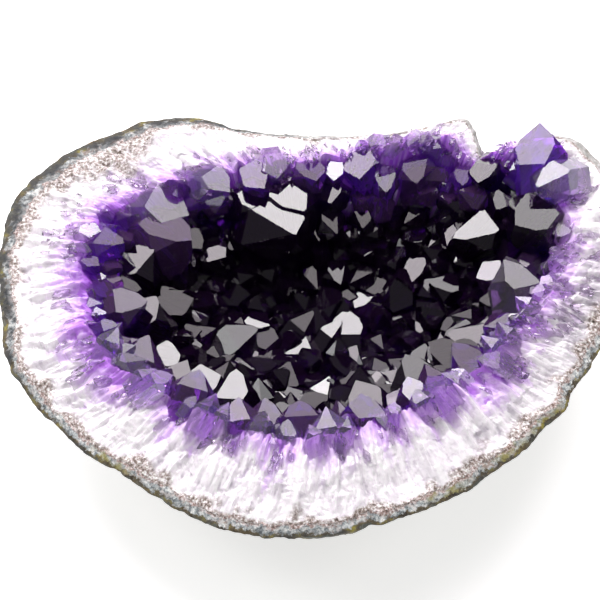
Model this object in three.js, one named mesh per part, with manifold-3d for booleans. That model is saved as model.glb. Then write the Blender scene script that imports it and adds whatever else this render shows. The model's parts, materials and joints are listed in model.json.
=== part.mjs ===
// Half of an amethyst geode: a shallow broken bowl of rock, open at the top.
// Millimetres, +Z up, X along the longest side. The origin is at the middle
// of the bounding box, on the ground that the flat foot stands on.
import * as THREE from 'three';
import { mergeVertices } from 'three/addons/utils/BufferGeometryUtils.js';
import Module from 'manifold-3d';

const wasm = await Module();
wasm.setup();

// ---------------------------------------------------------------- dimensions

// The broken rim, corner by corner, clockwise from the right-hand end:
// x, y and height of its outer edge, the width of the broken face inwards
// from there, and how much the face rises over that width.
const RIM = [
  [67, 17, 31, 15, 5],
  [61, -1, 31, 14, 6],
  [54, -14, 30, 15, 6],
  [46, -26, 29, 16, 6],
  [34, -38, 28, 17, 7],
  [19, -47, 28, 18, 7],
  [5, -52, 28, 18, 7],
  [-10, -53, 28, 18, 7],
  [-24, -49, 28, 18, 7],
  [-38, -40, 29, 17, 6],
  [-50, -30, 29, 17, 6],
  [-61, -16, 30, 17, 6],
  [-65, 0, 30, 17, 5],
  [-67, 17, 31, 18, 4],
  [-64, 33, 31, 20, 3],
  [-52, 45, 32, 22, 2],
  [-32, 53, 33, 21, 3],
  [-16, 49, 33, 15, 5],
  [0, 47, 33, 11, 5],
  [17, 48, 33, 10, 6],
  [33, 51, 34, 11, 5],
  [38, 43, 29, 7, 6],
  [50, 47, 34, 12, 5],
  [62, 38, 33, 14, 4],
];
const CENTRE = [2, 0];         // the spokes of every surface meet above here
const SPOKES = 72;             // steps around the rim, three to each corner

const RIND_WIDTH = 2.4;        // agate skin, measured inwards at the rim
const RIND_DEPTH = 3.4;        // and measured upwards on the wall
const GAP = 0.35;              // between neighbouring layers, measured inwards
const GAP_UP = 0.55;           // and measured upwards, where walls are steep
const FOOT = 0.58;             // part of each spoke that the sloping wall takes
const BULGE_FRONT = 1.3;       // how full the wall's curve is, 1 is a cone
const BULGE_BACK = 1.8;
const LUMP = 2.4;              // height of the wall's broad lumps
const KNOB = 1;                // and of its small knobs and pits

const FLOOR = 12;              // height of the hollow's quartz floor
const HOLLOW_CURVE = 3.2;      // how steep the hollow's wall is at its edge
const HOLLOW_LUMP = 1;         // height of the lumps on that wall
const FACE_COLUMN = 1.2;       // ridges of the quartz columns in the broken face
const FACE_CHIP = 0.6;         // and the chips along them

const CRUST = 2.2;             // amethyst between the crystals' feet
const CRUST_LIP = 1.5;         // how far it reaches out onto the broken face

const TIP_SLOPE = 1.35;        // height of a quartz tip over its radius
const TIP_OFF = 0.25;          // how far it stands off the middle, over the radius
const SHOULDER = [0.2, 0.9];   // prism that shows below the tip, over the radius
const LEAN = 0.4;              // how far crystals lean from the wall's direction
const CRYSTALS = 120;
const CRYSTAL_RADIUS = [3.7, 6.4];
const CROWDING = 0.56;         // spacing over the sum of two radii
const EDGE_CRYSTALS = 38;      // those along the hollow's edge
const EDGE_RADIUS = [3, 4.8];
const EDGE_CROWDING = 0.35;
const SMALLEST_EDGE = 0.08;    // shorter edges are closed up where crystals join
const SEED = 20;

// The crystals that stand out from the rest: the place along the rim counted
// in corners, the part of the way from the hollow's edge to the centre, and
// the radius.
const LARGE_CRYSTALS = [
  [14.1, 0.2, 7],
  [22.6, 0, 5.5],
  [23.1, -0.04, 4.5],
  [22, 0.08, 5],
  [23.6, 0.16, 6.5],
  [1, 0.24, 6],
  [3, 0.05, 5],
  [17.1, 0.18, 6],
  [20, 0.04, 5],
  [19.3, 0.08, 4.5],
  [7.9, 0.3, 6],
  [11.4, 0.24, 6],
  [5.9, 0.08, 5],
  [15.5, 0.12, 5],
  [11.7, 0.06, 5],
];

// ------------------------------------------------------------------- helpers

// Repeatable random numbers from 0 to 1.
let state = SEED;
function random() {
  state = (state * 1664525 + 1013904223) % 4294967296;
  return state / 4294967296;
}

function between(low, high) {
  return low + (high - low) * random();
}

// A rim row at any place along the rim, counted in corners, on a smooth curve.
function rimAt(place) {
  const count = RIM.length;
  const i = Math.floor(place);
  const t = place - i;
  const [a, b, c, d] = [-1, 0, 1, 2].map((step) => RIM[(i + step + count) % count]);
  return b.map((value, k) => value + 0.5 * t * (c[k] - a[k]
    + t * (2 * a[k] - 5 * value + 4 * c[k] - d[k]
    + t * (3 * (value - c[k]) + d[k] - a[k]))));
}

// One spoke: the rim's row, its distance to the centre and its direction there.
function spokeAt(place) {
  const [x, y, z, band, rise] = rimAt(place);
  const dx = CENTRE[0] - x;
  const dy = CENTRE[1] - y;
  const length = Math.hypot(dx, dy);
  return { x, y, z, band, rise, length, dx: dx / length, dy: dy / length };
}

// The point at a distance in from the rim along a spoke, at a given height.
function onSpoke(spoke, distance, height) {
  return [spoke.x + spoke.dx * distance, spoke.y + spoke.dy * distance, height];
}

// Slow rolling lumps, -1 to 1, for natural surfaces.
function lumps(x, y) {
  return 0.5 * Math.sin(0.21 * x + 1.3) * Math.cos(0.17 * y - 0.4)
    + 0.3 * Math.sin(0.33 * y + 0.29 * x + 2)
    + 0.2 * Math.cos(0.61 * x - 0.47 * y);
}

// Height of the rock's outside below the rim: a full-bellied wall to a flat foot.
function outsideHeight(spoke, distance, knob) {
  const down = Math.min(1, distance / (spoke.length * FOOT));
  const bulge = spoke.y > 0 ? BULGE_BACK : BULGE_FRONT;
  const [x, y] = onSpoke(spoke, distance, 0);
  const fade = Math.sin(Math.PI * Math.sqrt(down));
  return spoke.z * (1 - down) ** bulge + fade * (LUMP * lumps(x, y) + knob);
}

// Height of the broken face, between the rim and the hollow's edge.
function faceHeight(spoke, distance) {
  return spoke.z + spoke.rise * (distance / spoke.band) ** 0.8;
}

// Height of the hollow's wall and floor, at a part of the way to the centre.
function hollowHeight(spoke, part) {
  const edge = spoke.z + spoke.rise;
  const [x, y] = onSpoke(spoke, spoke.band + part * (spoke.length - spoke.band), 0);
  const fade = Math.min(1, 4 * part);
  return edge - (edge - FLOOR) * (1 - (1 - part) ** HOLLOW_CURVE)
    + HOLLOW_LUMP * fade * lumps(x, y);
}

// A small step of its own for every spoke and ring of a surface.
function smallSteps(rings, height) {
  return Array.from({ length: SPOKES }, () => {
    return Array.from({ length: rings }, () => between(-height, height));
  });
}

function fromCentre([x, y]) {
  return Math.hypot(x - CENTRE[0], y - CENTRE[1]);
}

// A closed solid between rings of points: the first and last ring each close
// on a point of their own. Two facing surfaces are cut into the same
// triangles, whichever way each one runs, so that the gap between them is even.
function lathed(first, rings, last) {
  const points = [first, ...rings.flat(), last];
  const count = rings[0].length;
  const end = points.length - 1;
  const faces = [];
  for (let i = 0; i < count; i++) {
    const next = (i + 1) % count;
    faces.push([0, 1 + i, 1 + next]);
    for (let ring = 0; ring + 1 < rings.length; ring++) {
      const low = 1 + ring * count;
      const high = low + count;
      if (fromCentre(points[low + i]) > fromCentre(points[high + i])) {
        faces.push([low + i, high + next, low + next], [low + i, high + i, high + next]);
      } else {
        faces.push([low + i, high + i, low + next], [low + next, high + i, high + next]);
      }
    }
    const top = end - count;
    faces.push([end, top + next, top + i]);
  }
  const geometry = new THREE.BufferGeometry();
  geometry.setAttribute('position', new THREE.Float32BufferAttribute(points.flat(), 3));
  geometry.setIndex(faces.flat());
  return geometry;
}

function toSolid(geometry) {
  const bare = new THREE.BufferGeometry();
  bare.setAttribute('position', geometry.getAttribute('position'));
  bare.setIndex(geometry.getIndex());
  const merged = mergeVertices(bare, 1e-4);
  return new wasm.Manifold(new wasm.Mesh({
    numProp: 3,
    vertProperties: new Float32Array(merged.getAttribute('position').array),
    triVerts: new Uint32Array(merged.getIndex().array),
  }));
}

function toGeometry(solid) {
  const { vertProperties, triVerts } = solid.getMesh();
  const geometry = new THREE.BufferGeometry();
  geometry.setAttribute('position', new THREE.BufferAttribute(vertProperties, 3));
  geometry.setIndex(new THREE.BufferAttribute(triVerts, 1));
  return geometry;
}

const spokes = Array.from({ length: SPOKES }, (_, i) => spokeAt(i * RIM.length / SPOKES));

function ringOf(place) {
  return spokes.map((spoke, i) => place(spoke, i));
}

// --------------------------------------------------------------------- rind

// The wall's rings, as parts of the way from the rim to the foot's edge.
const WALL_RINGS = [0.14, 0.38, 0.68, 1];
const knobs = smallSteps(WALL_RINGS.length, KNOB);

// The wall from the rim down: its outside, or a surface lifted off that and
// starting further in.
function wall(start, lift) {
  return WALL_RINGS.map((part, ring) => {
    return ringOf((spoke, i) => {
      const distance = start + part * (spoke.length * FOOT - start);
      return onSpoke(spoke, distance, outsideHeight(spoke, distance, knobs[i][ring]) + lift);
    });
  });
}

function rindGeometry() {
  const rimOuter = ringOf((spoke) => onSpoke(spoke, 0, spoke.z));
  const rimInner = ringOf((spoke) => {
    return onSpoke(spoke, RIND_WIDTH, faceHeight(spoke, RIND_WIDTH));
  });
  const outside = wall(0, 0).toReversed();
  const inside = wall(RIND_WIDTH, RIND_DEPTH);
  return lathed([...CENTRE, 0], [...outside, rimOuter, rimInner, ...inside],
    [...CENTRE, RIND_DEPTH]);
}

// -------------------------------------------------------------- quartz wall

const FACE_RINGS = [0.12, 0.4, 0.7, 1];
const HOLLOW_RINGS = [0.12, 0.34, 0.66];
const chips = smallSteps(FACE_RINGS.length, FACE_CHIP);

// The broken face with its chips. The ring number counts in from the rind.
function chippedFace(spoke, i, ring, lift = 0) {
  const start = RIND_WIDTH + GAP;
  const distance = start + FACE_RINGS[ring] * (spoke.band - start);
  const column = i % 2 === 0 ? FACE_COLUMN : -FACE_COLUMN;
  const relief = Math.min(1, 2 * FACE_RINGS[ring]) * (column + chips[i][ring]);
  return onSpoke(spoke, distance, faceHeight(spoke, distance) + relief + lift);
}

function hollowPoint(spoke, ring, lift = 0) {
  const part = HOLLOW_RINGS[ring];
  const distance = spoke.band + part * (spoke.length - spoke.band);
  return onSpoke(spoke, distance, hollowHeight(spoke, part) + lift);
}

function quartzGeometry() {
  const start = RIND_WIDTH + GAP;
  const lift = RIND_DEPTH + GAP_UP;
  const outside = wall(start, lift).toReversed();
  const shoulder = ringOf((spoke) => onSpoke(spoke, start, faceHeight(spoke, start)));
  const face = FACE_RINGS.map((_, ring) => ringOf((spoke, i) => chippedFace(spoke, i, ring)));
  const hollow = HOLLOW_RINGS.map((_, ring) => {
    return ringOf((spoke) => hollowPoint(spoke, ring));
  });
  return lathed([...CENTRE, lift], [...outside, shoulder, ...face, ...hollow],
    [...CENTRE, hollowHeight(spokes[0], 1)]);
}

// ------------------------------------------------------------ crystal crust

// All of the space above the quartz, from just outside the hollow's edge.
function spaceAboveQuartz() {
  const ceiling = 80;
  const rings = [
    ...HOLLOW_RINGS.map((_, ring) => {
      return ringOf((spoke) => hollowPoint(spoke, ring, GAP_UP));
    }).toReversed(),
    ringOf((spoke, i) => chippedFace(spoke, i, 3, GAP_UP)),
    ringOf((spoke, i) => chippedFace(spoke, i, 2, GAP_UP)),
    ringOf((spoke, i) => {
      const [x, y] = chippedFace(spoke, i, 2);
      return [x, y, ceiling];
    }),
  ];
  return toSolid(lathed([...CENTRE, hollowHeight(spokes[0], 1) + GAP_UP], rings,
    [...CENTRE, ceiling]));
}

// The amethyst between the crystals' feet, a coarse sheet over the hollow's
// wall and a little way out onto the broken face. Its underside is deep in
// the quartz, where the space above the quartz ends it.
function sheet() {
  function layer(lift) {
    const edge = ringOf((spoke) => {
      return onSpoke(spoke, spoke.band, faceHeight(spoke, spoke.band) + 0.6 * lift);
    });
    const lip = ringOf((spoke, i) => {
      const [x, y, z] = edge[i];
      return [x - CRUST_LIP * spoke.dx, y - CRUST_LIP * spoke.dy, z];
    });
    const hollow = HOLLOW_RINGS.map((_, ring) => {
      return ringOf((spoke) => hollowPoint(spoke, ring, lift));
    });
    return [lip, edge, ...hollow].map((ring) => ring.filter((_, i) => i % 3 === 0));
  }
  const middle = hollowHeight(spokes[0], 1);
  return toSolid(lathed([...CENTRE, middle - CRUST],
    [...layer(-CRUST).toReversed(), ...layer(GAP_UP + CRUST)],
    [...CENTRE, middle + GAP_UP + CRUST]));
}

// A quartz point along +Z: a six-sided prism under a six-sided tip, whose
// faces are broad and narrow by turns. Its foot is buried below the origin.
function crystalGeometry(radius, shoulder, buried) {
  const foot = [];
  const ring = [];
  for (let side = 0; side < 6; side++) {
    const turn = side * Math.PI / 3 + between(-0.12, 0.12);
    const reach = radius * between(0.82, 1.05);
    const x = reach * Math.cos(turn);
    const y = reach * Math.sin(turn);
    foot.push([x, y, -buried]);
    ring.push([x, y, shoulder + radius * between(-0.2, 0.2)]);
  }
  const off = TIP_OFF * radius;
  const tip = [between(-off, off), between(-off, off), shoulder + TIP_SLOPE * radius];
  const points = [[0, 0, -buried], ...foot, ...ring, tip];
  const faces = [];
  for (let side = 0; side < 6; side++) {
    const a = 1 + side;
    const b = 1 + (side + 1) % 6;
    faces.push([0, b, a], [a, b, b + 6], [a, b + 6, a + 6], [a + 6, b + 6, 13]);
  }
  const geometry = new THREE.BufferGeometry();
  geometry.setAttribute('position', new THREE.Float32BufferAttribute(points.flat(), 3));
  geometry.setIndex(faces.flat());
  return geometry;
}

// Outward direction of the hollow's wall where a crystal grows.
function wallNormal(spoke, part) {
  const step = 0.02;
  const run = step * (spoke.length - spoke.band);
  const drop = hollowHeight(spoke, part) - hollowHeight(spoke, part + step);
  return new THREE.Vector3(spoke.dx * drop, spoke.dy * drop, run).normalize();
}

// Where a crystal is rooted, and how thick it is.
function crystalPlace(corner, part, radius) {
  const spoke = spokeAt(corner);
  const distance = spoke.band + part * (spoke.length - spoke.band);
  const height = hollowHeight(spoke, Math.max(part, 0));
  return { spoke, part, radius, point: new THREE.Vector3(...onSpoke(spoke, distance, height)) };
}

// Crystals crowd over the hollow: after the large ones a row along its edge,
// and then, smaller and smaller, wherever there is room between the others.
function crystalPlaces() {
  const places = LARGE_CRYSTALS.map((row) => crystalPlace(...row));
  function growIfRoom(place, crowding) {
    const room = places.every((other) => {
      const reach = crowding * (place.radius + other.radius);
      return other.point.distanceTo(place.point) > reach;
    });
    if (room) {
      places.push(place);
    }
  }
  for (let step = 0; step < EDGE_CRYSTALS; step++) {
    const corner = (step + random()) * RIM.length / EDGE_CRYSTALS;
    const place = crystalPlace(corner, between(0, 0.06), between(...EDGE_RADIUS));
    growIfRoom(place, EDGE_CROWDING);
  }
  const start = places.length;
  for (let tries = 0; tries < 8000 && places.length < CRYSTALS; tries++) {
    const share = (places.length - start) / (CRYSTALS - start);
    const [small, large] = CRYSTAL_RADIUS;
    const radius = large + (small - large) * share ** 0.5;
    const part = 1 - random() ** 0.6;
    growIfRoom(crystalPlace(between(0, RIM.length), part, radius), CROWDING);
  }
  return places;
}

function crustGeometry() {
  const solids = crystalPlaces().map(({ spoke, part, radius, point }) => {
    const normal = wallNormal(spoke, Math.max(part, 0.03));
    const lean = new THREE.Vector3(between(-1, 1), between(-1, 1), between(-0.2, 0.8));
    const axis = normal.addScaledVector(lean, LEAN).normalize();
    const geometry = crystalGeometry(radius, radius * between(...SHOULDER), radius);
    geometry.rotateZ(between(0, Math.PI));
    geometry.applyQuaternion(new THREE.Quaternion()
      .setFromUnitVectors(new THREE.Vector3(0, 0, 1), axis));
    geometry.translate(point.x, point.y, point.z + GAP_UP);
    return toSolid(geometry);
  });
  const grown = wasm.Manifold.union([sheet(), ...solids]);
  return toGeometry(grown.intersect(spaceAboveQuartz()).simplify(SMALLEST_EDGE));
}

// ----------------------------------------------------------------- assembly

function piece(name, geometry, color, roughness) {
  const material = new THREE.MeshStandardMaterial({ color, roughness, metalness: 0 });
  const mesh = new THREE.Mesh(geometry, material);
  mesh.name = name;
  return mesh;
}

const group = new THREE.Group();
group.add(piece('rind', rindGeometry(), 0x5a5e55, 0.85));
group.add(piece('quartz_wall', quartzGeometry(), 0xece8ef, 0.35));
group.add(piece('crystal_crust', crustGeometry(), 0x2c1060, 0.08));

export default group;
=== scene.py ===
import json
import math

import bmesh
import bpy
import numpy as np
from mathutils import Matrix, Vector, noise

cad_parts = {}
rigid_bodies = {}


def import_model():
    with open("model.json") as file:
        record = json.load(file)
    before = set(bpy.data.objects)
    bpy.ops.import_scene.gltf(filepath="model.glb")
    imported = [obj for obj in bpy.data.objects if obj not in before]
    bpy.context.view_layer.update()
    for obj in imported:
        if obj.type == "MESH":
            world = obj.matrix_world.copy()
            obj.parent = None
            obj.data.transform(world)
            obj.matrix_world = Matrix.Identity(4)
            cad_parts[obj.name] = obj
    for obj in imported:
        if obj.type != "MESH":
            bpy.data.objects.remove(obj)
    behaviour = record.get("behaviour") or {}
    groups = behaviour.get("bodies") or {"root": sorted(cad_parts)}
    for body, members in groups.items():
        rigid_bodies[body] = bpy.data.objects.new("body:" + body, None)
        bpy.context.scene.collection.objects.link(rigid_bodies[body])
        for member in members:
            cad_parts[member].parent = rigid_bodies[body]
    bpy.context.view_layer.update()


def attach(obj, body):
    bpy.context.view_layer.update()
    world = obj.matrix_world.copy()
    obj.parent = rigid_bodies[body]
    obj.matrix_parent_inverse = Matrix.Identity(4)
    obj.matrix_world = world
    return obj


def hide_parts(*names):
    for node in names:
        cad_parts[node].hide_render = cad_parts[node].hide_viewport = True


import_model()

MM = 0.001
scene = bpy.context.scene

# ---- Camera ---------------------------------------------------------------
# A long lens looks down into the hollow from the front, as one looks at a
# stone on a table. It is framed on the middle of the broken rim.

VIEW_ELEVATION = math.radians(50)
VIEW_DISTANCE = 341.5 * MM
VIEW_TARGET = Vector((-4, 2.4, 30)) * MM
LENS_LENGTH = 100
SENSOR_WIDTH = 36

camera_data = bpy.data.cameras.new("camera")
camera_data.lens = LENS_LENGTH
camera_data.sensor_width = SENSOR_WIDTH
camera = bpy.data.objects.new("camera", camera_data)
scene.collection.objects.link(camera)
towards_camera = Vector((0, -math.cos(VIEW_ELEVATION), math.sin(VIEW_ELEVATION)))
camera.location = VIEW_TARGET + VIEW_DISTANCE * towards_camera
camera.rotation_euler = (math.pi / 2 - VIEW_ELEVATION, 0, 0)
scene.camera = camera

# ---- Rind -----------------------------------------------------------------
# The skin that the geode grew in: a thin shell of grey-green agate, stained
# ochre and rust outside, knobbly all over and ground flat at the foot. It is
# one piece with the quartz, and shows at the rim as a dark line.

# The broken rim, corner by corner, clockwise from the right-hand end: x, y and
# height of its outer edge, the broken face's width inwards, and its rise.
RIM = np.array([
    [67, 17, 31, 15, 5],
    [61, -1, 31, 14, 6],
    [54, -14, 30, 15, 6],
    [46, -26, 29, 16, 6],
    [34, -38, 28, 17, 7],
    [19, -47, 28, 18, 7],
    [5, -52, 28, 18, 7],
    [-10, -53, 28, 18, 7],
    [-24, -49, 28, 18, 7],
    [-38, -40, 29, 17, 6],
    [-50, -30, 29, 17, 6],
    [-61, -16, 30, 17, 6],
    [-65, 0, 30, 17, 5],
    [-67, 17, 31, 18, 4],
    [-64, 33, 31, 20, 3],
    [-52, 45, 32, 22, 2],
    [-32, 53, 33, 21, 3],
    [-16, 49, 33, 15, 5],
    [0, 47, 33, 11, 5],
    [17, 48, 33, 10, 6],
    [33, 51, 34, 11, 5],
    [38, 43, 29, 7, 6],
    [50, 47, 34, 12, 5],
    [62, 38, 33, 14, 4],
], dtype=float)
CENTRE = np.array([2.0, 0.0])

RIND_WIDTH = 2.4
RIND_DEPTH = 3.4
# The foot begins at this part of the way from the rim to the middle.
FOOT = 0.58
# How full the bowl is in front and behind: at 1 its side would be straight.
BULGE_FRONT = 1.3
BULGE_BACK = 1.8
LUMP = 2.4
# How far the rim, the skin's inner edge and the hollow's edge waver.
RIM_WAVER = 0.75
RIND_WAVER = 0.5
BAND_WAVER = 1.3


def rim_at(place):
    """The rim's row at places counted in corners, on a smooth closed curve."""
    place = np.atleast_1d(place)
    corner = np.floor(place).astype(int)
    t = (place - corner)[:, None]
    a, b, c, d = (RIM[(corner + step) % len(RIM)] for step in (-1, 0, 1, 2))
    return b + 0.5 * t * (c - a + t * (2 * a - 5 * b + 4 * c - d + t * (3 * (b - c) + d - a)))


def waver(place, bays, seed):
    """Small bays and teeth along the rim, from -1 to 1."""
    turn = np.atleast_1d(place) * 2 * math.pi / len(RIM)
    return np.array([noise.fractal(Vector((bays * math.cos(t), bays * math.sin(t), seed)),
                                   0.8, 2.0, 6) for t in turn])


def smooth_step(low, high, value):
    """0 up to the low value, 1 from the high one, and a soft slope between."""
    t = np.clip((value - low) / (high - low), 0, 1)
    return t * t * (3 - 2 * t)


def stretch(first, last, place):
    """1 along a stretch of the rim, in corners, and 0 elsewhere."""
    begun = smooth_step(first - 0.5, first + 0.5, place)
    ended = smooth_step(last - 0.5, last + 0.5, place)
    return begun * (1 - ended)


class Spokes:
    """Lines in plan from places on the rim to the middle of the bowl."""

    def __init__(self, place):
        rows = rim_at(place)
        self.place = np.atleast_1d(place)
        inward = CENTRE - rows[:, :2]
        self.direction = inward / np.hypot(inward[:, 0], inward[:, 1])[:, None]
        self.start = rows[:, :2] - self.direction * (RIM_WAVER * waver(place, 9, 3))[:, None]
        self.z, self.rise = rows[:, 2], rows[:, 4]
        self.band = rows[:, 3] + BAND_WAVER * waver(place, 7, 8)
        self.rind = (RIND_WIDTH + RIND_WAVER * waver(place, 8, 12)
                     + 0.8 * stretch(11.5, 15.5, self.place) + 1.5 * stretch(13.3, 16.8, self.place))
        inward = CENTRE - self.start
        self.length = np.hypot(inward[:, 0], inward[:, 1])

    def at(self, distance):
        """Points in plan, a distance in from the rim."""
        return self.start + self.direction * np.broadcast_to(distance, self.length.shape)[:, None]


def lumps(x, y):
    """Broad lumps of the rock, from -1 to 1."""
    return (0.5 * np.sin(0.21 * x + 1.3) * np.cos(0.17 * y - 0.4)
            + 0.3 * np.sin(0.33 * y + 0.29 * x + 2)
            + 0.2 * np.cos(0.61 * x - 0.47 * y))


def outside_height(spokes, distance):
    """Height of the rock's outside at a distance in from the rim."""
    down = np.minimum(1, distance / (spokes.length * FOOT))
    bulge = np.where(spokes.start[:, 1] > 0, BULGE_BACK, BULGE_FRONT)
    x, y = spokes.at(distance).T
    fade = np.sin(np.pi * np.sqrt(down))
    return spokes.z * (1 - down) ** bulge + LUMP * fade * lumps(x, y)


def face_height(spokes, distance):
    """Height of the broken face, from the rim to the hollow's edge."""
    return spokes.z + spokes.rise * (np.maximum(distance, 0) / spokes.band) ** 0.8


def grain(points, size, octaves, seed):
    """Fractal noise from -1 to 1 at each point, with lumps of a size in mm."""
    offset = Vector((17.3 * seed, 5.1 * seed, 9.7 * seed))
    return np.array([noise.fractal(Vector(p) / size + offset, 0.7, 2.0, octaves)
                     for p in points])


def lifted(spokes, distance, height):
    """A ring of points, a distance in from the rim and at a height."""
    return np.column_stack([spokes.at(distance), np.broadcast_to(height, spokes.z.shape)])


def ring_mesh(name, first, rings, last):
    """A closed mesh between rings of points in mm, each end closed on a point."""
    count = len(rings[0])
    points = np.vstack([[first], np.concatenate(rings), [last]]) * MM
    end = len(points) - 1
    index = np.arange(count)
    after = (index + 1) % count
    quads = [np.stack([low + index, low + count + index, low + count + after, low + after], 1)
             for low in 1 + count * np.arange(len(rings) - 1)]
    top = end - count
    faces = (np.stack([np.zeros(count, int), 1 + index, 1 + after], 1).tolist()
             + np.concatenate(quads).tolist()
             + np.stack([np.full(count, end), top + after, top + index], 1).tolist())
    mesh = bpy.data.meshes.new(name)
    mesh.from_pydata(points.tolist(), [], faces)
    piece = bpy.data.objects.new(name, mesh)
    scene.collection.objects.link(piece)
    return piece


def paint(piece, name, colours):
    """Stores a colour for each point of a mesh, which its material reads."""
    values = np.ones((len(piece.data.vertices), 4))
    values[:, :3] = colours
    layer = piece.data.color_attributes.new(name, "FLOAT_COLOR", "POINT")
    layer.data.foreach_set("color", values.ravel())


class Finish:
    """A new material, with short ways to place and join its nodes."""

    def __init__(self, name):
        self.material = bpy.data.materials.new(name)
        self.material.use_nodes = True
        self.nodes = self.material.node_tree.nodes
        self.links = self.material.node_tree.links
        self.shader = self.nodes["Principled BSDF"]
        self.output = self.nodes["Material Output"]
        place = self.nodes.new("ShaderNodeTexCoord")
        self.place = place.outputs["Object"]

    def set(self, **values):
        """Sets the shader's own values, by their names with _ for a space."""
        for name, value in values.items():
            self.shader.inputs[name.replace("_", " ")].default_value = value

    def feed(self, socket, source):
        """Joins a node's output to a socket, or sets the socket to a value."""
        if hasattr(source, "links"):
            self.links.new(source, socket)
        else:
            socket.default_value = source

    def specks(self, size, detail=4, rough=0.6):
        """Noise from 0 to 1 with lumps of a size in mm."""
        node = self.nodes.new("ShaderNodeTexNoise")
        self.links.new(self.place, node.inputs["Vector"])
        node.inputs["Scale"].default_value = 1 / (size * MM)
        node.inputs["Detail"].default_value = detail
        node.inputs["Roughness"].default_value = rough
        return node.outputs["Fac"]

    def ramp(self, source, *stops):
        """Turns a value into a colour, or into a grey where a stop has one number."""
        node = self.nodes.new("ShaderNodeValToRGB")
        self.links.new(source, node.inputs["Fac"])
        elements = node.color_ramp.elements
        while len(elements) < len(stops):
            elements.new(1)
        for element, (position, colour) in zip(elements, stops):
            element.position = position
            element.color = (*colour, 1) if len(colour) == 3 else (colour[0],) * 3 + (1,)
        return node.outputs["Color"]

    def mix(self, share, first, second, blend="MIX"):
        """The first colour at a share of 0, and the second at 1."""
        node = self.nodes.new("ShaderNodeMix")
        node.data_type = "RGBA"
        node.blend_type = blend
        self.feed(node.inputs["Factor"], share)
        self.feed(node.inputs["A"], first)
        self.feed(node.inputs["B"], second)
        return node.outputs["Result"]

    def add(self, first, second, times):
        """The first value times a number, plus the second."""
        node = self.nodes.new("ShaderNodeMath")
        node.operation = "MULTIPLY_ADD"
        self.links.new(first, node.inputs[0])
        node.inputs[1].default_value = times
        self.links.new(second, node.inputs[2])
        return node.outputs[0]

    def painted(self, name):
        """A colour that paint stored on the mesh."""
        node = self.nodes.new("ShaderNodeVertexColor")
        node.layer_name = name
        return node.outputs["Color"]

    def bump(self, height, depth):
        node = self.nodes.new("ShaderNodeBump")
        node.inputs["Distance"].default_value = depth * MM
        self.links.new(height, node.inputs["Height"])
        self.links.new(node.outputs["Normal"], self.shader.inputs["Normal"])


RIND_SPOKES = 720
OUTSIDE_RINGS = 84
RIM_TOP_RINGS = 9
INSIDE_RINGS = 7
KNOB = 0.9
PIT = 0.7
# How far knobs and pits push, down and out alike.
PUSH = 0.7
RIM_GRAIN = 0.28

rind_spokes = Spokes(np.arange(RIND_SPOKES) * len(RIM) / RIND_SPOKES)


def rind_outside(part):
    """A ring of the outside, part of the way from the rim to the foot."""
    distance = part * rind_spokes.length * FOOT
    ring = lifted(rind_spokes, distance, outside_height(rind_spokes, distance))
    knobs = grain(ring, 7, 4, 1)
    pits = np.minimum(0, grain(ring, 2.2, 3, 2) + 0.15)
    fade = min(1, 12 * part) * min(1, 6 * (1 - part))
    push = PUSH * (fade * (KNOB * knobs + PIT * pits))
    ring[:, :2] -= rind_spokes.direction * push[:, None]
    ring[:, 2] -= push
    ring[:, 2] = np.maximum(ring[:, 2], 0)
    return ring


rind_rings = [rind_outside(part) for part in np.linspace(1, 0, OUTSIDE_RINGS)]
for part in np.linspace(0.06, 1, RIM_TOP_RINGS):
    distance = part * rind_spokes.rind
    ring = lifted(rind_spokes, distance, face_height(rind_spokes, distance))
    ring[:, 2] += RIM_GRAIN * grain(ring, 1.6, 5, 3)
    rind_rings.append(ring)
for part in np.linspace(0.05, 1, INSIDE_RINGS):
    distance = rind_spokes.rind + part * (rind_spokes.length * FOOT - rind_spokes.rind)
    rind_rings.append(lifted(rind_spokes, distance,
                             outside_height(rind_spokes, distance) + RIND_DEPTH))
rind_points = np.vstack(rind_rings)
rind = ring_mesh("agate_rind", [*CENTRE, 0], rind_rings, [*CENTRE, RIND_DEPTH])
rind.data.shade_smooth()


def on_all_rings(values):
    """Repeats a value for each spoke on all the rings of the rind."""
    return np.tile(values, len(rind_rings))


def paint_rind(name, values, last=0):
    """Paints the rind's rings, and the points that close it below and inside."""
    paint(rind, name, np.concatenate([[0], values, [last]])[:, None])


# How far across the broken rim each point lies, from 0 at the outside. The layers
# of the agate follow it, and are wider at the left.
AT_QUARTZ = 0.45
across = np.concatenate([np.zeros(OUTSIDE_RINGS), np.linspace(0.05, AT_QUARTZ, RIM_TOP_RINGS),
                         np.full(INSIDE_RINGS, AT_QUARTZ)])
left_rim = on_all_rings(stretch(11, 17.5, rind_spokes.place))
across = np.repeat(across, RIND_SPOKES) * (1 - 0.2 * left_rim)
paint_rind("across_rim", across, AT_QUARTZ)

# The agate is pale along the rear rim.
at_rim = np.concatenate([smooth_step(0.05, 0, np.linspace(1, 0, OUTSIDE_RINGS)),
                         np.ones(RIM_TOP_RINGS + INSIDE_RINGS)])
rear_rim = smooth_step(16.8, 19.2, rind_spokes.place) * (1 - smooth_step(23.2, 24, rind_spokes.place))
paint_rind("paleness", np.outer(at_rim, rear_rim).ravel())

# Where ochre has soaked into the rim, by corners, and how far it has spread.
OCHRE_PLACES = [3.2, 3.8, 4.7, 9.2]
OCHRE_SPREAD = 0.22
stained = on_all_rings(sum(np.exp(-((rind_spokes.place - place) / OCHRE_SPREAD) ** 2)
                           for place in OCHRE_PLACES))
blotch = grain(rind_points, 2.2, 4, 21)
paint_rind("ochre", np.clip(stained * (0.6 + 2 * blotch), 0, 0.85))

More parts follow.
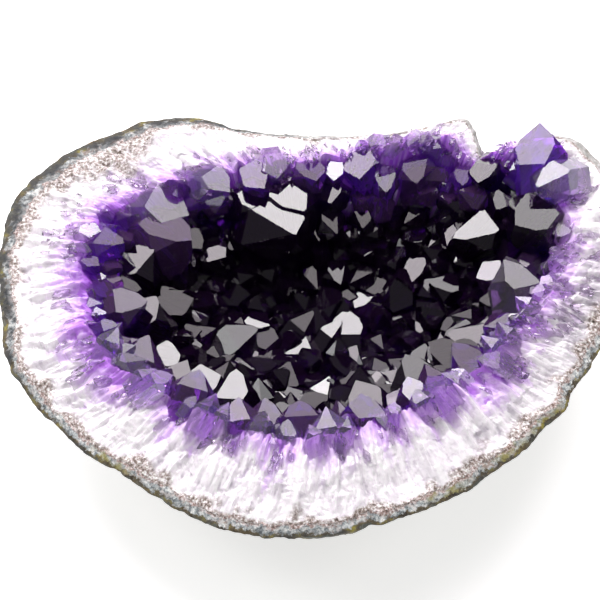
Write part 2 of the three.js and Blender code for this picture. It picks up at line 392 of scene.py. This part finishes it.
# The agate is darkest in clouds next to the outside, most of all at the left.
cloud = grain(rind_points, 3.5, 5, 22)
edge_share = 1 - smooth_step(0.05, 0.5, across + 0.25 * cloud - 0.12 * left_rim)
left_end = on_all_rings(stretch(12.2, 13.8, rind_spokes.place))
paint_rind("slate", np.clip(edge_share * (0.15 + 0.45 * left_rim + 0.15 * left_end + 1.3 * cloud),
                            0, 0.95))

skin = Finish("agate_rind")
rind.data.materials.append(skin.material)
skin_colour = skin.ramp(skin.specks(9, 6), (0.28, (0.03, 0.034, 0.03)), (0.44, (0.08, 0.092, 0.08)),
                        (0.56, (0.13, 0.13, 0.105)), (0.66, (0.085, 0.055, 0.035)))
skin_colour = skin.mix(skin.ramp(skin.specks(6, 6, 0.7), (0.54, (0,)), (0.66, (0.8,))),
                       skin_colour, (0.24, 0.155, 0.05, 1))
skin_colour = skin.mix(skin.ramp(skin.specks(1.6, 5, 0.7), (0.54, (0,)), (0.66, (0.6,))),
                       skin_colour, (0.25, 0.27, 0.25, 1))
skin_edge = skin.ramp(skin.specks(3.5, 5, 0.7), (0.38, (0.035, 0.028, 0.02)),
                      (0.52, (0.12, 0.095, 0.05)), (0.64, (0.27, 0.24, 0.05)))
skin_edge = skin.mix(skin.painted("slate"), skin_edge, (0.06, 0.062, 0.06, 1))
agate = skin.ramp(skin.specks(0.9, 6, 0.75), (0.36, (0.05, 0.055, 0.06)),
                  (0.44, (0.21, 0.24, 0.25)), (0.52, (0.42, 0.46, 0.46)),
                  (0.61, (0.78, 0.80, 0.77)))
# Light grey flecks in the agate: partly pale grains, partly painted glints.
agate = skin.mix(skin.ramp(skin.specks(1.9, 6, 0.7), (0.53, (0,)), (0.62, (0.8,))),
                 agate, (0.66, 0.63, 0.61, 1))
agate = skin.mix(skin.ramp(skin.specks(2.6, 6, 0.7), (0.55, (0,)), (0.62, (0.75,))),
                 agate, (0.24, 0.16, 0.12, 1))
agate = skin.mix(skin.painted("slate"), agate, (0.02, 0.023, 0.027, 1))
agate = skin.mix(skin.painted("ochre"), agate, (0.25, 0.225, 0.045, 1))
pink_colour = skin.ramp(skin.specks(0.55, 5, 0.7), (0.38, (0.10, 0.07, 0.06)),
                        (0.48, (0.34, 0.22, 0.19)), (0.60, (0.78, 0.72, 0.71)))
drift = skin.add(skin.specks(1.7, 6, 0.75), skin.painted("across_rim"), 0.7)
skin_colour = skin.mix(skin.ramp(drift, (0.36, (0,)), (0.40, (1,))), skin_colour, skin_edge)
skin_colour = skin.mix(skin.ramp(drift, (0.47, (0,)), (0.52, (1,))), skin_colour, agate)
skin_colour = skin.mix(skin.ramp(drift, (0.64, (0,)), (0.71, (0.9,))), skin_colour, pink_colour)
pale_agate = skin.ramp(skin.specks(1.2, 5, 0.7), (0.36, (0.22, 0.22, 0.20)), (0.5, (0.42, 0.42, 0.40)),
                       (0.62, (0.62, 0.61, 0.62)))
skin_colour = skin.mix(skin.ramp(skin.painted("paleness"), (0, (0,)), (1, (0.85,))),
                       skin_colour, pale_agate)
skin.feed(skin.shader.inputs["Base Color"], skin_colour)
skin.set(Roughness=0.6, IOR=1.5, Specular_IOR_Level=0.25)
skin.bump(skin.specks(0.5, 4), 0.2)

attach(rind, "root")
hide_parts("rind")

# ---- Quartz wall ----------------------------------------------------------
# White quartz, grown inwards from the skin as a bundle of columns and broken
# across with the rock. Each column ends in lilac, then violet, at the hollow.

QUARTZ_SPOKES = 1080
FACE_RINGS = 66
HOLLOW_FLOOR = 12
# How steeply the hollow falls from its edge: at 1 its side would be straight.
HOLLOW_CURVE = 3.2
# The quartz reaches this far into the skin at the rim, and lies this far above it
# inside the bowl.
OVERLAP = 0.5
QUARTZ_GAP = 0.4

quartz_spokes = Spokes(np.arange(QUARTZ_SPOKES) * len(RIM) / QUARTZ_SPOKES)


def hollow_height(spokes, part):
    """Height of the hollow's wall and floor, part of the way to the middle."""
    edge = spokes.z + spokes.rise
    x, y = spokes.at(spokes.band + part * (spokes.length - spokes.band)).T
    fade = np.minimum(1, 4 * part)
    return (edge - (edge - HOLLOW_FLOOR) * (1 - (1 - part) ** HOLLOW_CURVE)
            + fade * lumps(x, y))


class Columns:
    """Broken columns side by side: each is a roof whose ridge runs inwards,
    and the highest roof shows, so that neighbours meet in a valley."""

    def __init__(self, around, length, lift, steep, fall, seed):
        self.around, self.length, self.steep = around, length, steep
        draw = np.random.default_rng(seed)
        shape = (around, int(30 / length) + 4)
        self.off_turn, self.off_row = draw.uniform(0.15, 0.85, (2, *shape))
        self.lift = draw.uniform(-lift, lift, shape)
        self.left, self.right = draw.uniform(0.3 * steep, 1.6 * steep, (2, *shape))
        self.near, self.far = draw.uniform(0.2 * fall, 1.8 * fall, (2, *shape))
        self.shade = draw.uniform(-1, 1, shape)

    def at(self, place, distance):
        """For the column that shows: its height in mm, its shade number, how far
        to the side of its ridge this is, and how near the seam to the next."""
        turn = place / len(RIM) * self.around
        row = distance / self.length + 1
        turn_cell, row_cell = np.floor(turn).astype(int), np.floor(row).astype(int)
        best = np.full(turn.shape, -1e9)
        second = best.copy()
        shade, side = np.zeros((2, len(turn)))
        for turn_step in (-2, -1, 0, 1, 2):
            for row_step in (-1, 0, 1):
                one = ((turn_cell + turn_step) % self.around,
                       np.clip(row_cell + row_step, 0, self.off_row.shape[1] - 1))
                beside = turn - (turn_cell + turn_step + self.off_turn[one])
                beyond = row - (row_cell + row_step + self.off_row[one])
                here = (self.lift[one]
                        - np.abs(beside) * np.where(beside < 0, self.left[one], self.right[one])
                        - np.abs(beyond) * np.where(beyond < 0, self.near[one], self.far[one]))
                wins = here > best
                second = np.maximum(second, np.minimum(best, here))
                shade = np.where(wins, self.shade[one], shade)
                side = np.where(wins, np.abs(beside), side)
                best = np.maximum(best, here)
        return best, shade, side, 1 - smooth_step(0, 0.3 * self.steep, best - second)


columns = Columns(80, 7.5, 0.9, 2.2, 1.4, 5)
splinters = Columns(190, 3.4, 0.35, 0.8, 0.5, 6)
chips = Columns(480, 1.3, 0.12, 0.22, 0.2, 7)

wall_start = quartz_spokes.rind - OVERLAP
HIDDEN = np.array([0.5, 0.5, 0.5])
quartz_rings = []
quartz_colours = [HIDDEN[None]]
quartz_speckle = [np.zeros((1, 1))]


def add_quartz_ring(ring, colour, speckle):
    """Adds a ring with its colours, and how far grains cover it, from 0 to 1."""
    quartz_rings.append(ring)
    quartz_colours.append(np.broadcast_to(colour, ring.shape))
    quartz_speckle.append(np.broadcast_to(np.reshape(speckle, (-1, 1)), (len(ring), 1)))


for part in np.linspace(1, 0.05, 7):
    distance = wall_start + part * (quartz_spokes.length * FOOT - wall_start)
    add_quartz_ring(lifted(quartz_spokes, distance,
                           outside_height(quartz_spokes, distance) + RIND_DEPTH + QUARTZ_GAP),
                    HIDDEN, 0)

WHITE = np.array([0.88, 0.86, 0.88])
# A grey for murky quartz, which also paints shade into the valleys between columns.
MURK_AND_VALLEY_SHADE_GREY = np.array([0.42, 0.38, 0.45])
LILAC = np.array([0.70, 0.50, 0.86])
VIOLET = np.array([0.44, 0.18, 0.70])
DEEP = np.array([0.33, 0.07, 0.68])
DARK = np.array([0.018, 0.004, 0.03])


def blend(first, second, share):
    """Mixes colours by a share for each point of a ring."""
    return first + (second - first) * share[:, None]


def murky_end(place):
    """1 at the right-hand end, where the quartz is murky, and 0 elsewhere."""
    return stretch(-1, 2, place) + stretch(23.4, 25, place)


def far_side(place):
    """1 along the rear rim, with fewer grains and paler crystals, and 0 elsewhere."""
    return smooth_step(15.5, 18.5, place) * (1 - smooth_step(22.5, 23.8, place))


# The colour begins later in the columns of the rear left, which are the longest,
# and the quartz is granular by the rim there.
dull = murky_end(quartz_spokes.place)
late = (0.18 * stretch(13.6, 16.8, quartz_spokes.place) + 0.05 * stretch(11, 13.6, quartz_spokes.place)
        + 0.08 * stretch(17, 21.3, quartz_spokes.place) + 0.12 * stretch(4, 10, quartz_spokes.place)
        + 0.25 * dull)
ragged = stretch(14.5, 15.5, quartz_spokes.place) + 0.7 * stretch(0.3, 2.2, quartz_spokes.place)
gritty = 1.8 * stretch(13.2, 15.4, quartz_spokes.place) + 6 * stretch(14.7, 15.3, quartz_spokes.place)
for part in np.linspace(0, 1, FACE_RINGS):
    distance = wall_start + part * (quartz_spokes.band - wall_start)
    ring = lifted(quartz_spokes, distance, face_height(quartz_spokes, distance))
    place = quartz_spokes.place + 0.06 * grain(ring, 9, 2, 31)
    inwards = distance + 1.5 * grain(ring, 9, 2, 32)
    tall, column_shade, column_side, column_seam = columns.at(place, inwards)
    fine, splinter_shade, splinter_side, splinter_seam = splinters.at(place, inwards)
    small, chip_shade, _, _ = chips.at(place, inwards)
    fade = min(1, 4 * part)
    ring[:, 2] += 0.25 + fade * (tall + fine) + small - OVERLAP * (part == 0)
    patch = grain(ring, 6, 3, 11)
    cloud = grain(ring, 2.5, 3, 12)
    colour = np.tile(WHITE, (QUARTZ_SPOKES, 1))
    murky = smooth_step(0.1, 1.0, 0.3 * splinter_shade + 0.35 * chip_shade + 0.8 * patch
                        + 0.3 * cloud + 0.25 * dull + 0.8 * ragged * (1 - part))
    # Painted shade: the grey deepens along the valleys where neighbouring columns meet, on top of the
    # murky quartz's own grey.
    seam = np.maximum(0.45 * column_seam, 0.3 * splinter_seam) * (0.5 + 0.5 * cloud)
    colour = blend(colour, MURK_AND_VALLEY_SHADE_GREY, np.clip(0.65 * murky + seam, 0, 0.85))
    # The white runs in along each column's ridge, like a flame.
    ripe = (part + 0.14 * (column_side - 0.25) + 0.08 * (splinter_side - 0.25) + 0.1 * column_shade
            + 0.09 * splinter_shade + 0.07 * chip_shade + 0.05 * cloud - late)
    colour = blend(colour, LILAC, smooth_step(0.42, 0.80, ripe))
    colour = blend(colour, VIOLET, smooth_step(0.74, 1.02, ripe))
    width = (np.maximum(0.5, 1.2 + 3.2 * patch + 0.8 * cloud) + 1.5 * ragged
             + gritty * (1 + cloud)) * (1 - 0.6 * far_side(quartz_spokes.place))
    add_quartz_ring(ring, colour,
                    1 - smooth_step(0.4, 1.3, (distance - wall_start - 0.3) / width))

HOLLOW_PARTS = (0.02, 0.05, 0.1, 0.16, 0.24, 0.34, 0.46, 0.6, 0.8)
for part in HOLLOW_PARTS:
    distance = quartz_spokes.band + part * (quartz_spokes.length - quartz_spokes.band)
    depth = np.maximum(0, part - 0.06 * dull - 0.02 * stretch(3, 11, quartz_spokes.place))
    colour = blend(np.tile(VIOLET, (QUARTZ_SPOKES, 1)), LILAC, dull)
    colour = blend(colour, DEEP, smooth_step(0, 0.04, depth))
    colour = blend(colour, DARK, smooth_step(0.09, 0.22, depth))
    add_quartz_ring(lifted(quartz_spokes, distance, hollow_height(quartz_spokes, part)), colour, 0)
quartz_colours.append(np.tile(DARK, (1, 1)))
quartz_speckle.append(np.zeros((1, 1)))
quartz = ring_mesh("milky_quartz_wall", [*CENTRE, RIND_DEPTH + QUARTZ_GAP], quartz_rings,
                   [*CENTRE, float(hollow_height(quartz_spokes, 1)[0])])
paint(quartz, "growth_colour", np.concatenate(quartz_colours))
paint(quartz, "speckle", np.concatenate(quartz_speckle))

milky = Finish("milky_quartz")
quartz.data.materials.append(milky.material)
speckle_colour = milky.ramp(milky.specks(0.65, 5, 0.7), (0.36, (0.09, 0.075, 0.065)),
                            (0.46, (0.29, 0.23, 0.20)), (0.53, (0.50, 0.45, 0.43)),
                            (0.60, (0.86, 0.85, 0.84)))
quartz_colour = milky.mix(milky.painted("speckle"), milky.painted("growth_colour"), speckle_colour)
quartz_colour = milky.mix(milky.ramp(milky.specks(0.9, 5, 0.7), (0.36, (0.4,)), (0.48, (0,))),
                          quartz_colour, (0.6, 0.55, 0.62, 1), "MULTIPLY")
milky.feed(milky.shader.inputs["Base Color"], quartz_colour)
milky.set(Roughness=0.22, IOR=1.544)
milky.set(Subsurface_Weight=0.35, Subsurface_Radius=(1, 0.8, 1), Subsurface_Scale=0.0012)

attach(quartz, "root")
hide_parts("quartz_wall")

# ---- Crystal crust --------------------------------------------------------
# Amethyst points, grown together over the whole hollow. The dark ones carpet
# it, and paler ones stand along its edge, where the colour begins.

# A crystal that grew flat mirrors a lamp in its broad face. The lamps from the
# brightest down: how far round from the rear, and how high, in degrees.
BRIGHT, SOFT, MILD, DIM, LOW = (-6, 54), (-40, 52), (27, 52), (0, 76), (0, 32)

# The large crystals: corner of the rim, part of the way in, radius, broad face,
# the way they lean in plan (0 right, 90 back) and their depth of colour.
LARGE_CRYSTALS = [
    (14.3, 0.18, 7.5, LOW, 325, 1), (14.8, 0.08, 5.5, MILD, 340, 0), (13.3, 0.19, 5.6, SOFT, 30, 2),
    (13.3, 0.06, 4.6, LOW, 340, 1), (11.9, 0.10, 5.0, MILD, 10, 1),
    (11.7, 0.22, 5.6, SOFT, 60, 2), (10.9, 0.28, 4.6, BRIGHT, 100, 2), (10.5, 0.12, 5.0, MILD, 80, 1),
    (9.9, 0.15, 5.2, SOFT, 60, 2), (9.4, 0.20, 5.2, BRIGHT, 95, 2), (8.5, 0.14, 5.6, BRIGHT, 85, 2),
    (8.0, 0.05, 4.6, SOFT, 90, 1), (5.5, 0.06, 4.6, MILD, 100, 1), (6.8, 0.08, 4.2, LOW, 95, 1),
    (5.0, 0.18, 5.4, SOFT, 110, 2), (3.5, 0.30, 5.2, MILD, 120, 2), (4.4, 0.05, 4.0, BRIGHT, 105, 1),
    (9.1, 0.04, 4.0, MILD, 80, 1), (2.9, 0.10, 5.0, DIM, 130, 1), (1.9, 0.34, 4.8, DIM, 150, 2),
    (1.4, 0.27, 5.2, SOFT, 160, 2), (0.4, 0.20, 6.0, MILD, 110, 0), (23.6, 0.26, 5.0, BRIGHT, 200, 1),
    (22.8, 0.24, 6.4, BRIGHT, 205, 2), (23.4, 0.10, 7.0, MILD, 215, 2), (21.8, 0.08, 4.4, SOFT, 250, 2),
    (22.4, 0.02, 4.6, SOFT, 75, 1), (23.1, 0.03, 4.8, BRIGHT, 225, 0), (22.6, 0.14, 4.2, MILD, 230, 2),
    (19.6, 0.10, 4.6, DIM, 280, 1), (19.1, 0.11, 4.4, MILD, 270, 1), (16.8, 0.22, 7.4, BRIGHT, 300, 2),
    (17.4, 0.14, 6.4, BRIGHT, 290, 2), (16.2, 0.14, 5.4, BRIGHT, 310, 2), (15.2, 0.28, 4.6, SOFT, 320, 2),
    (20.2, 0.85, 4.6, BRIGHT, 90, 2), (18.3, 0.44, 4.5, MILD, 280, 2), (21.3, 0.42, 4.2, SOFT, 260, 2),
    (18.2, 0.12, 4.4, SOFT, 275, 2), (12.6, 0.60, 4.5, MILD, 30, 2), (23.2, 0.45, 4.4, MILD, 180, 2),
    (12.9, 0.34, 4.2, DIM, 20, 2), (15.6, 0.05, 5.0, MILD, 320, 0), (16.6, 0.06, 4.6, SOFT, 300, 1),
    (17.8, 0.05, 4.4, LOW, 285, 1), (18.7, 0.06, 4.6, SOFT, 270, 1),
]
LARGE_RAISED = 0.9
# Two beside the notch stand out, and the first leans outwards, above all the
# others: by number, how much larger each is than its row says, and how far it
# stands from its place.
STANDING_OUT = {26: (1.3, Vector((2, -1.8, 1.6))), 27: (1, Vector((1.2, 0.3, 2)))}

# A tip's faces slope this much from level when the crystal is upright.
TIP_ANGLE = math.radians(51.8)
CRYSTALS = 390
EDGE_CRYSTALS = 110
MOST_TRIES = 20000
SMALLEST, LARGEST = 2.2, 6.4
# How far a crystal reaches into the wall, by its radius.
BURIED = 1.3
# How near two crystals may stand along the edge and in the hollow, as a share of
# both radii, and how much more room the large ones take.
EDGE_CROWDING, HOLLOW_CROWDING, LARGE_ROOM = 0.36, 0.46, 1.3
# The share of crystals that grew flat to a lamp, and the lamps they mirror.
FLAT_SHARE = 0.68
FLAT_FACES = [BRIGHT, SOFT, MILD, MILD, DIM, DIM, LOW, LOW]

draw = np.random.default_rng(11)


def between(low, high):
    """The next random number of the stream in use."""
    return float(draw.uniform(low, high))


def towards_lamp(azimuth, elevation):
    """The way to a lamp that stands so far round from the rear, and so high."""
    azimuth, elevation = math.radians(azimuth), math.radians(elevation)
    return Vector((math.sin(azimuth) * math.cos(elevation), math.cos(azimuth) * math.cos(elevation),
                   math.sin(elevation)))


def wall_point(place, part):
    """A point of the hollow's wall, part of the way in from its edge."""
    spoke = Spokes(place)
    distance = spoke.band + part * (spoke.length - spoke.band)
    return Vector(lifted(spoke, distance, hollow_height(spoke, np.maximum(part, 0)))[0])


def wall_normal(place, part):
    """The way out of the hollow's wall at such a point."""
    spoke = Spokes(place)
    step = 0.02
    part = max(part, 0.03)
    run = float(step * (spoke.length - spoke.band)[0])
    drop = float((hollow_height(spoke, part) - hollow_height(spoke, part + step))[0])
    across = spoke.direction[0]
    return Vector((across[0] * drop, across[1] * drop, run)).normalized()


def crystal(radius, height, buried, even):
    """Cuts a quartz point out of a block: a six-sided prism under a tip of six
    even faces, or of three broad and three narrow ones."""
    block = bmesh.new()
    bmesh.ops.create_cone(block, cap_ends=True, segments=6, radius1=1.6 * radius,
                          radius2=1.6 * radius, depth=height + buried + radius,
                          matrix=Matrix.Translation((0, 0, (height + radius - buried) / 2)))
    for side in range(6):
        turn = math.radians(60 * side) + between(-0.03, 0.03)
        across = Vector((math.cos(turn), math.sin(turn), 0))
        # A face that sits further out along the axis is narrower.
        over = between(0, 0.1) if even or side % 2 == 0 else between(0.1, 0.42)
        over -= max(0, between(-0.4, 0.5)) * (side == 0 and not even)
        slope = across * math.sin(TIP_ANGLE) + Vector((0, 0, math.cos(TIP_ANGLE)))
        cuts = ((across, across * radius * between(0.68, 1.0)),
                (slope, Vector((0, 0, height + over * radius))))
        for normal, point in cuts:
            geometry = block.verts[:] + block.edges[:] + block.faces[:]
            cut = bmesh.ops.bisect_plane(block, geom=geometry, plane_co=point, plane_no=normal,
                                         clear_outer=True, dist=1e-4)
            edges = [part for part in cut["geom_cut"] if isinstance(part, bmesh.types.BMEdge)]
            if edges:
                bmesh.ops.contextual_create(block, geom=edges)
    bmesh.ops.remove_doubles(block, verts=block.verts[:], dist=0.02)
    bmesh.ops.recalc_face_normals(block, faces=block.faces[:])
    return block


LAMP_DISTANCE = 1100
LAMP_CENTRE = Vector((0, 0, 30))


def standing(point, normal, face, lean):
    """Turns a crystal to grow from the wall. One with a face leans so far that
    this face mirrors the lamp; the others stand off the wall."""
    if face is not None:
        lamp = LAMP_CENTRE + LAMP_DISTANCE * towards_lamp(*face)
        up = ((lamp - point).normalized() + (camera.location / MM - point).normalized()).normalized()
        lean = (lean - up * lean.dot(up)).normalized()
        axis = up * math.cos(TIP_ANGLE) + lean * math.sin(TIP_ANGLE)
        side = (up - axis * up.dot(axis)).normalized()
    else:
        axis = (normal + 0.45 * Vector((between(-1, 1), between(-1, 1), between(-0.2, 0.8))))
        axis.normalize()
        side = axis.orthogonal().normalized()
        side.rotate(Matrix.Rotation(between(0, 2 * math.pi), 3, axis))
    third = axis.cross(side)
    turn = Matrix((side, third, axis)).transposed().to_4x4()
    return Matrix.Scale(MM, 4) @ Matrix.Translation(point) @ turn


# The points by depth of colour: each zone's last part of the way inwards, the
# tint of its skin, the colour that it lets through, how strongly it absorbs, and
# how clear it is.
ZONES = [
    ("pale_crystals", 0.02, (0.92, 0.82, 0.98), (0.50, 0, 0.82), 120, 0.93),
    ("violet_crystals", 0.12, (0.62, 0.26, 0.88), (0.52, 0, 0.8), 300, 0.94),
    ("dark_crystals", 9, (0.14, 0.045, 0.22), (0.62, 0, 0.75), 800, 0.97),
]
places = []


def grow(place, part, radius, crowding, flat_share):
    """Gives a crystal a place, unless others leave it no room."""
    point = wall_point(place, part)
    for number, other in enumerate(places):
        room = crowding * (LARGE_ROOM if number < len(LARGE_CRYSTALS) else 1)
        if (other[0] - point).length < room * (radius + other[3]):
            return
    normal = wall_normal(place, part)
    shown = (part / (1 + 0.5 * float(far_side(place))) - 0.09 * float(murky_end(place))
             - 0.045 * float(stretch(3, 11, place)))
    depth = next(number for number, zone in enumerate(ZONES) if shown < zone[1])
    face = None
    if between(0, 1) < flat_share + 0.2 * (point.x > 20):
        face = FLAT_FACES[draw.integers(len(FLAT_FACES))] + 6 * draw.normal(size=2)
    lean = Vector((normal.x, normal.y, 0)) + 0.45 * Vector((between(-1, 1), between(-1, 1), 0))
    places.append((point, part, normal, radius, face, lean, depth))


for place, part, radius, face, turn, depth in LARGE_CRYSTALS:
    lean = Vector((math.cos(math.radians(turn)), math.sin(math.radians(turn)), 0))
    face = face + 2 * draw.normal(size=2)
    raised = Vector((0, 0, LARGE_RAISED + 0.3 * (radius - 5)))
    places.append((wall_point(place, part) + raised, part,
                   wall_normal(place, part), radius, face, lean, depth))
# A row of smaller ones stands along the edge, but for the bare stretch at the rear.
BARE_FIRST, BARE_LAST = 19.7, 21.2
for step in range(EDGE_CRYSTALS):
    place = (step + between(0, 1)) * len(RIM) / EDGE_CRYSTALS
    left = float(stretch(11, 15, place))
    murk = float(murky_end(place))
    inner = 0.02 * float(stretch(11, 21, place) + 2 * stretch(13.8, 16.5, place)) + 0.04 * murk
    if not BARE_FIRST < place < BARE_LAST:
        part = between(-0.02, 0.08) + inner
        radius = between(1.8, 3.8) * (1 - 0.3 * murk)
        grow(place, part, radius, EDGE_CROWDING, 0.5 - 0.35 * left)
# The rest fill the hollow, the largest first.
tries = 0
while len(places) < CRYSTALS and tries < MOST_TRIES:
    tries += 1
    radius = LARGEST + (SMALLEST - LARGEST) * (len(places) / CRYSTALS) ** 0.6
    grow(between(0, len(RIM)), 0.03 + 0.97 * (1 - between(0, 1) ** 0.62), radius,
         HOLLOW_CROWDING, FLAT_SHARE)

zone_points = [bpy.data.collections.new(zone[0]) for zone in ZONES]
for number, (point, part, normal, radius, face, lean, depth) in enumerate(places):
    draw = np.random.default_rng(number)
    tall = between(1.25, 1.75) if part > 0.02 else between(1.0, 1.45)
    if face is None and part > 0.1:
        tall += between(0, 0.6)
    if number in STANDING_OUT:
        growth, shift = STANDING_OUT[number]
        radius *= growth
        point = point + shift
    even = number >= len(LARGE_CRYSTALS) and between(0, 1) < 0.5
    block = crystal(radius, radius * tall, BURIED * radius, even)
    bmesh.ops.scale(block, vec=(1, between(0.85, 1.2), 1), verts=block.verts[:])
    block.transform(standing(point, normal, face, lean))
    mesh = bpy.data.meshes.new("point")
    block.to_mesh(mesh)
    block.free()
    zone_points[depth].objects.link(bpy.data.objects.new("point", mesh))

# Splinters of clear and lilac quartz, left standing where the columns broke: most
# lie all round the hollow's edge, and the others at the right-hand end.
SPLINTERS = 660
SPLINTERS_ALL_ROUND = 520
SPLINTER_CORNERS = 11
SPLINTER_LONG, SPLINTER_WIDE, SPLINTER_THICK = 2.2, 0.8, 0.9
splinter_points = bpy.data.collections.new("splinters")
for number in range(SPLINTERS):
    spoke = Spokes(between(0, len(RIM)) if number < SPLINTERS_ALL_ROUND else between(-1.2, 3.2))
    past = between(-0.16, 0.1)
    distance = spoke.band + past * (spoke.length - spoke.band)
    height = float((face_height(spoke, distance) if past < 0 else hollow_height(spoke, past))[0])
    block = bmesh.new()
    size = between(0.5, 1.1)
    for corner in range(SPLINTER_CORNERS):
        spot = Vector((float(draw.normal()), float(draw.normal()), float(draw.normal())))
        spot.normalize()
        block.verts.new((SPLINTER_LONG * size * spot.x, SPLINTER_WIDE * size * spot.y,
                         SPLINTER_THICK * size * spot.z))
    bmesh.ops.convex_hull(block, input=block.verts[:])
    loose = [vert for vert in block.verts if not vert.link_faces]
    bmesh.ops.delete(block, geom=loose, context="VERTS")
    along = Vector((*spoke.direction[0], between(0.0, 0.6))).normalized()
    turn = along.to_track_quat("X", "Z").to_matrix().to_4x4()
    spin = Matrix.Rotation(between(-0.4, 0.4), 4, "Z")
    spot = Vector((*spoke.at(distance)[0], height - between(0.1, 0.7)))
    block.transform(Matrix.Scale(MM, 4) @ Matrix.Translation(spot) @ turn @ spin)
    mesh = bpy.data.meshes.new("splinter")
    block.to_mesh(mesh)
    block.free()
    splinter_points.objects.link(bpy.data.objects.new("splinter", mesh))


def grow_together(piece, points):
    """Joins a collection of points to a piece, as one solid."""
    scene.collection.children.link(points)
    union = piece.modifiers.new("grown together", "BOOLEAN")
    union.operation = "UNION"
    union.operand_type = "COLLECTION"
    union.collection = points
    union.solver = "MANIFOLD"
    bpy.context.view_layer.update()
    graph = bpy.context.evaluated_depsgraph_get()
    grown = bpy.data.meshes.new_from_object(piece.evaluated_get(graph))
    piece.modifiers.clear()
    piece.data = grown
    scene.collection.children.unlink(points)
    for one in list(points.objects):
        bpy.data.objects.remove(one)
    bpy.data.collections.remove(points)
    grown.materials.clear()


# The dark crystals stand on a thin sheet over the hollow's wall, whose two sides
# lie this far below and above the wall.
SHEET_SPOKES = 72
SHEET_BOTTOM, SHEET_TOP = -1.2, 0.2
sheet_spokes = Spokes(np.arange(SHEET_SPOKES) * len(RIM) / SHEET_SPOKES)


def sheet_layer(lift, first):
    """Rings of one side of the sheet, from its edge to near the middle."""
    rings = []
    for part in (first, 0.14, 0.24, 0.38, 0.6):
        distance = sheet_spokes.band + part * (sheet_spokes.length - sheet_spokes.band)
        rings.append(lifted(sheet_spokes, distance, hollow_height(sheet_spokes, part) + lift))
    return rings


middle = float(hollow_height(sheet_spokes, 1)[0])
crust = ring_mesh("amethyst_crust", [*CENTRE, middle + SHEET_BOTTOM],
                  sheet_layer(SHEET_BOTTOM, 0.08)[::-1] + sheet_layer(SHEET_TOP, 0.09),
                  [*CENTRE, middle + SHEET_TOP])


def amethyst(name, tint, colour, density, clear):
    """Clear quartz that takes its colour from how thick it is."""
    finish = Finish(name)
    finish.set(Base_Color=(*tint, 1), Roughness=0.015, IOR=1.544, Transmission_Weight=clear)
    volume = finish.nodes.new("ShaderNodeVolumeAbsorption")
    volume.inputs["Color"].default_value = (*colour, 1)
    volume.inputs["Density"].default_value = density
    finish.links.new(volume.outputs["Volume"], finish.output.inputs["Volume"])
    return finish.material


crystal_sets = [(points, zone[0], *zone[2:]) for points, zone in zip(zone_points, ZONES)]
crystal_sets.append((splinter_points, "broken_splinters", (0.97, 0.93, 1), (0.5, 0, 0.82), 160, 0.95))
for points, name, *look in crystal_sets:
    if name == "dark_crystals":
        piece = crust
    else:
        piece = points.objects[0]
        points.objects.unlink(piece)
        scene.collection.objects.link(piece)
    piece.name = name
    grow_together(piece, points)
    piece.data.materials.append(amethyst(name, *look))
    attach(piece, "root")
    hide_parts("crystal_crust")

# ---- Studio ---------------------------------------------------------------
# A white table, with lit panels behind it that the crystal faces mirror, and
# softboxes at both sides and in front. The room is white, but gives little light.

TABLE_HALF = 3
table_corners = [(x * TABLE_HALF, y * TABLE_HALF, 0) for x, y in ((-1, -1), (1, -1), (1, 1), (-1, 1))]
floor_mesh = bpy.data.meshes.new("table")
floor_mesh.from_pydata(table_corners, [], [(0, 1, 2, 3)])
floor = bpy.data.objects.new("table", floor_mesh)
scene.collection.objects.link(floor)
table = Finish("white_table")
floor_mesh.materials.append(table.material)
table.set(Base_Color=(0.9, 0.9, 0.9, 1), Roughness=0.9)
table.set(Emission_Color=(1, 1, 1, 1), Emission_Strength=0.6)


def softbox(name, azimuth, elevation, distance, width, height, radiance, tint=(1, 1, 1)):
    """A rectangular lamp that faces the cluster from a direction."""
    lamp = bpy.data.lights.new(name, "AREA")
    lamp.shape = "RECTANGLE"
    lamp.size, lamp.size_y = width, height
    lamp.energy = radiance * math.pi * width * height
    lamp.color = tint
    piece = bpy.data.objects.new(name, lamp)
    scene.collection.objects.link(piece)
    away = towards_lamp(azimuth, elevation)
    piece.location = LAMP_CENTRE * MM + distance * away
    piece.rotation_euler = away.to_track_quat("Z", "Y").to_euler()


softbox("key_panel", *BRIGHT, LAMP_DISTANCE * MM, 0.36, 0.34, 13.5, (1, 0.96, 0.98))
softbox("left_panel", *SOFT, LAMP_DISTANCE * MM, 0.41, 0.39, 8, (1, 0.92, 0.97))
softbox("right_panel", *MILD, LAMP_DISTANCE * MM, 0.41, 0.39, 5.5, (1, 0.96, 0.98))
softbox("high_panel", *DIM, LAMP_DISTANCE * MM, 1.0, 0.42, 3.2, (1, 0.92, 0.95))
softbox("low_panel", *LOW, LAMP_DISTANCE * MM, 1.2, 0.4, 2.5, (1, 0.92, 0.95))
softbox("left_softbox", -85, 45, 1.2, 0.4, 0.4, 6)
softbox("right_softbox", 85, 40, 1.2, 0.4, 0.3, 3.5)
softbox("front_softbox", 180, 15, 1.5, 1.2, 0.3, 3)

world = bpy.data.worlds.new("room")
world.use_nodes = True
backdrop = world.node_tree.nodes["Background"]
backdrop.inputs["Color"].default_value = (1, 1, 1, 1)
rays = world.node_tree.nodes.new("ShaderNodeLightPath")
strength = world.node_tree.nodes.new("ShaderNodeMapRange")
strength.inputs["To Min"].default_value = 0.2
strength.inputs["To Max"].default_value = 1
world.node_tree.links.new(rays.outputs["Is Camera Ray"], strength.inputs["Value"])
world.node_tree.links.new(strength.outputs["Result"], backdrop.inputs["Strength"])
scene.world = world
scene.view_settings.view_transform = "Standard"
